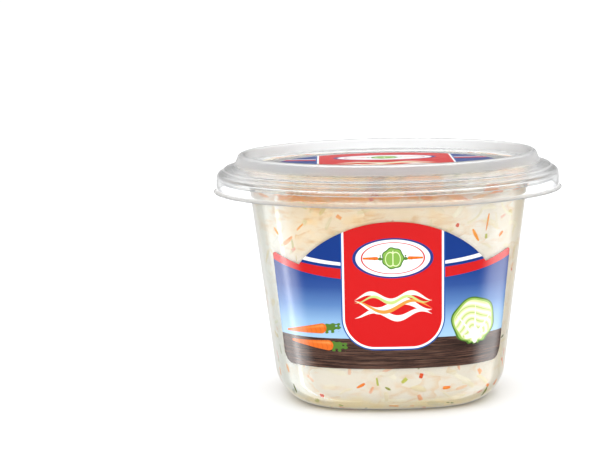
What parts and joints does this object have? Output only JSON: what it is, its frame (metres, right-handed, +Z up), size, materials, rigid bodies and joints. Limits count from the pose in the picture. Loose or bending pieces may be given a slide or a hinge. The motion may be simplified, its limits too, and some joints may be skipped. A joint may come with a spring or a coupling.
{
  "type": "coleslaw in a lidded tub",
  "caption": "Clear tapered tub of coleslaw with rounded-square plan, round clear lid with a raised ring, and printed labels on its front and lid.",
  "frame": {"origin": "middle of the flat base, on the surface that the tub stands on", "axes": "+Z up through the lid, -Y out of the labelled front, +X to the right seen from the front"},
  "size_m": [0.11, 0.11, 0.0773],
  "materials": {
    "tub_plastic": "clear, glossy",
    "lid_plastic": "clear, glossy",
    "label_print": "printed, satin",
    "coleslaw": "moist, creamy"
  },
  "bodies": {
    "root": {"tub": "tub_plastic", "lid": "lid_plastic", "side_label": "label_print", "lid_label": "label_print", "coleslaw": "coleslaw"}
  },
  "joints": []
}
